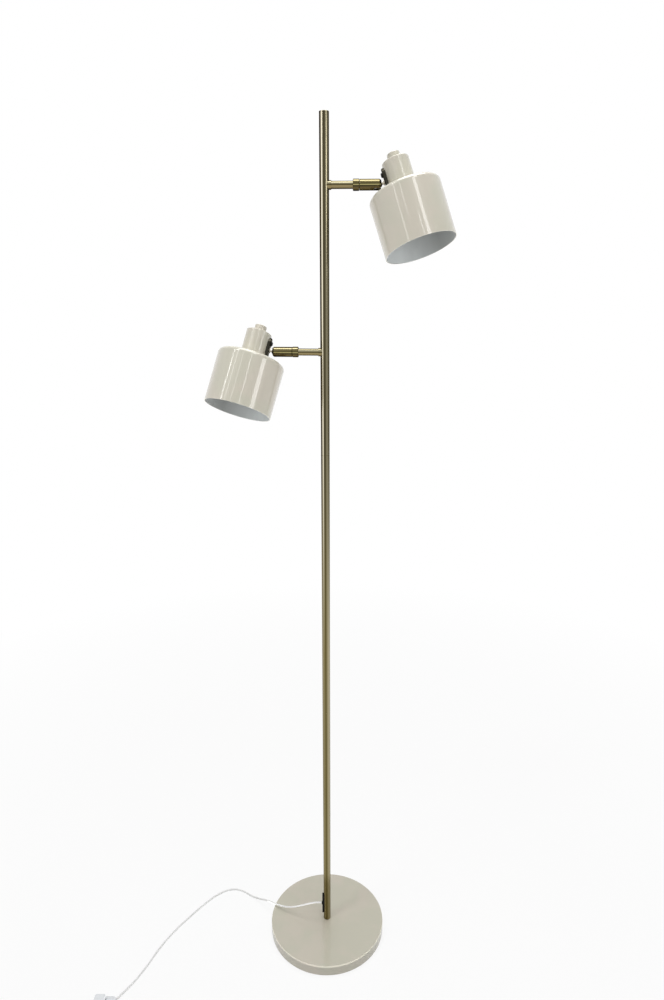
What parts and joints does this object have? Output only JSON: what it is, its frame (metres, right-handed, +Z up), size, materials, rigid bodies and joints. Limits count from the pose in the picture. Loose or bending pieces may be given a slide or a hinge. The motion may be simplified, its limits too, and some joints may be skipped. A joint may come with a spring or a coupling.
{
  "type": "floor lamp",
  "caption": "Floor lamp with a round base, a slim metal pole and cylindrical spotlights on short arms with ball joints, and a foot switch and plug on its cord.",
  "frame": {"origin": "on the floor, on the pole's axis", "axes": "+Z up, the upper arm points to +X and the lower arm to -X; the spots face -Y"},
  "size_m": [0.6127, 0.4245, 1.5],
  "materials": {
    "base_paint": "sand powder coat, satin",
    "shade_paint": "sand paint, semi-gloss",
    "iron": "raw casting",
    "felt": "black felt",
    "steel": "zinc plated steel",
    "spring_steel": "spring steel",
    "brass": "satin brass",
    "dark_nickel": "dark nickel",
    "black_plastic": "black moulded plastic",
    "black_steel": "blackened steel",
    "white_plastic": "white moulded plastic",
    "white_cord": "white sheath",
    "holder_plastic": "pale heat-resistant moulding",
    "frosted_glass": "frosted glass",
    "contact_aluminium": "formed sheet",
    "pin_nickel": "nickel plated"
  },
  "bodies": {
    "stand": {"base_cover": "base_paint", "base_weight": "iron", "base_pad": "felt", "base_stud": "steel", "foot_nut": "steel", "pole_lower": "brass", "pole_middle": "brass", "pole_upper": "brass", "pole_couplings": "steel", "pole_cap": "brass", "cord_outlet": "black_plastic", "inner_leads": "white_cord", "arm_saddles": "brass", "arm_nuts": "steel", "joint_collars": "brass", "journal_nuts": "steel", "right_arm_rod": "brass", "left_arm_rod": "brass", "foot_switch_base": "white_plastic", "foot_switch_cover": "white_plastic", "foot_switch_screws": "steel", "cord_to_foot_switch": "white_cord", "cord_to_coil": "white_cord", "cord_coil": "white_cord", "cord_to_plug": "white_cord", "plug_body": "white_plastic", "plug_pins": "pin_nickel"},
    "right_sleeve": {"right_joint_sleeve": "brass", "right_disc_springs": "spring_steel", "right_pressure_cup": "steel"},
    "right_stud": {"right_ball_stud": "brass", "right_stud_nut": "steel"},
    "right_head": {"right_bracket_plate": "dark_nickel", "right_bracket_screw": "black_steel", "right_holder_strap": "steel", "right_hood": "shade_paint", "right_lampholder": "holder_plastic", "right_shade_ring": "holder_plastic", "right_shade": "shade_paint", "right_bulb": "frosted_glass", "right_bulb_base": "contact_aluminium", "right_rotary_switch": "black_plastic"},
    "right_knob": {"right_switch_knob": "shade_paint"},
    "left_sleeve": {"left_joint_sleeve": "brass", "left_disc_springs": "spring_steel", "left_pressure_cup": "steel"},
    "left_stud": {"left_ball_stud": "brass", "left_stud_nut": "steel"},
    "left_head": {"left_bracket_plate": "dark_nickel", "left_bracket_screw": "black_steel", "left_holder_strap": "steel", "left_hood": "shade_paint", "left_lampholder": "holder_plastic", "left_shade_ring": "holder_plastic", "left_shade": "shade_paint", "left_bulb": "frosted_glass", "left_bulb_base": "contact_aluminium", "left_rotary_switch": "black_plastic"},
    "left_knob": {"left_switch_knob": "shade_paint"},
    "pedal": {"foot_switch_pedal": "white_plastic"}
  },
  "joints": [
    {"name": "right_arm_swivel", "type": "hinge", "parent": "stand", "child": "right_sleeve", "pos_m": [0.0503, 0, 1.408], "axis": [1, 0, 0], "range_deg": [-170, 170]},
    {"name": "right_ball_tilt", "type": "hinge", "parent": "right_sleeve", "child": "right_stud", "pos_m": [0.0775, 0, 1.408], "axis": [0, -1, 0], "range_deg": [-41.2, 4.8]},
    {"name": "right_head_turn", "type": "hinge", "parent": "right_stud", "child": "right_head", "pos_m": [0.0775, 0, 1.408], "axis": [0.9444, 0, 0.3289], "range_deg": [-150, 150]},
    {"name": "right_knob_turn", "type": "hinge", "parent": "right_head", "child": "right_knob", "pos_m": [0.09959, 0.00577, 1.43883], "axis": [-0.318, 0.2554, 0.913], "continuous": true},
    {"name": "left_arm_swivel", "type": "hinge", "parent": "stand", "child": "left_sleeve", "pos_m": [-0.0503, 0, 1.1767], "axis": [-1, 0, 0], "range_deg": [-170, 170]},
    {"name": "left_ball_tilt", "type": "hinge", "parent": "left_sleeve", "child": "left_stud", "pos_m": [-0.0775, 0, 1.1767], "axis": [0, 1, 0], "range_deg": [-37.1, 8.9]},
    {"name": "left_head_turn", "type": "hinge", "parent": "left_stud", "child": "left_head", "pos_m": [-0.0775, 0, 1.1767], "axis": [-0.9655, 0, 0.2605], "range_deg": [-150, 150]},
    {"name": "left_knob_turn", "type": "hinge", "parent": "left_head", "child": "left_knob", "pos_m": [-0.10202, 0.00894, 1.20482], "axis": [0.2393, 0.3955, 0.8867], "continuous": true},
    {"name": "foot_pedal_press", "type": "hinge", "parent": "stand", "child": "pedal", "pos_m": [-0.40845, -0.2356, 0.011], "axis": [-0.9976, -0.0698, 0], "range_deg": [0, 4], "stiffness_Nm_per_rad": 2, "springref_deg": -3.44}
  ]
}
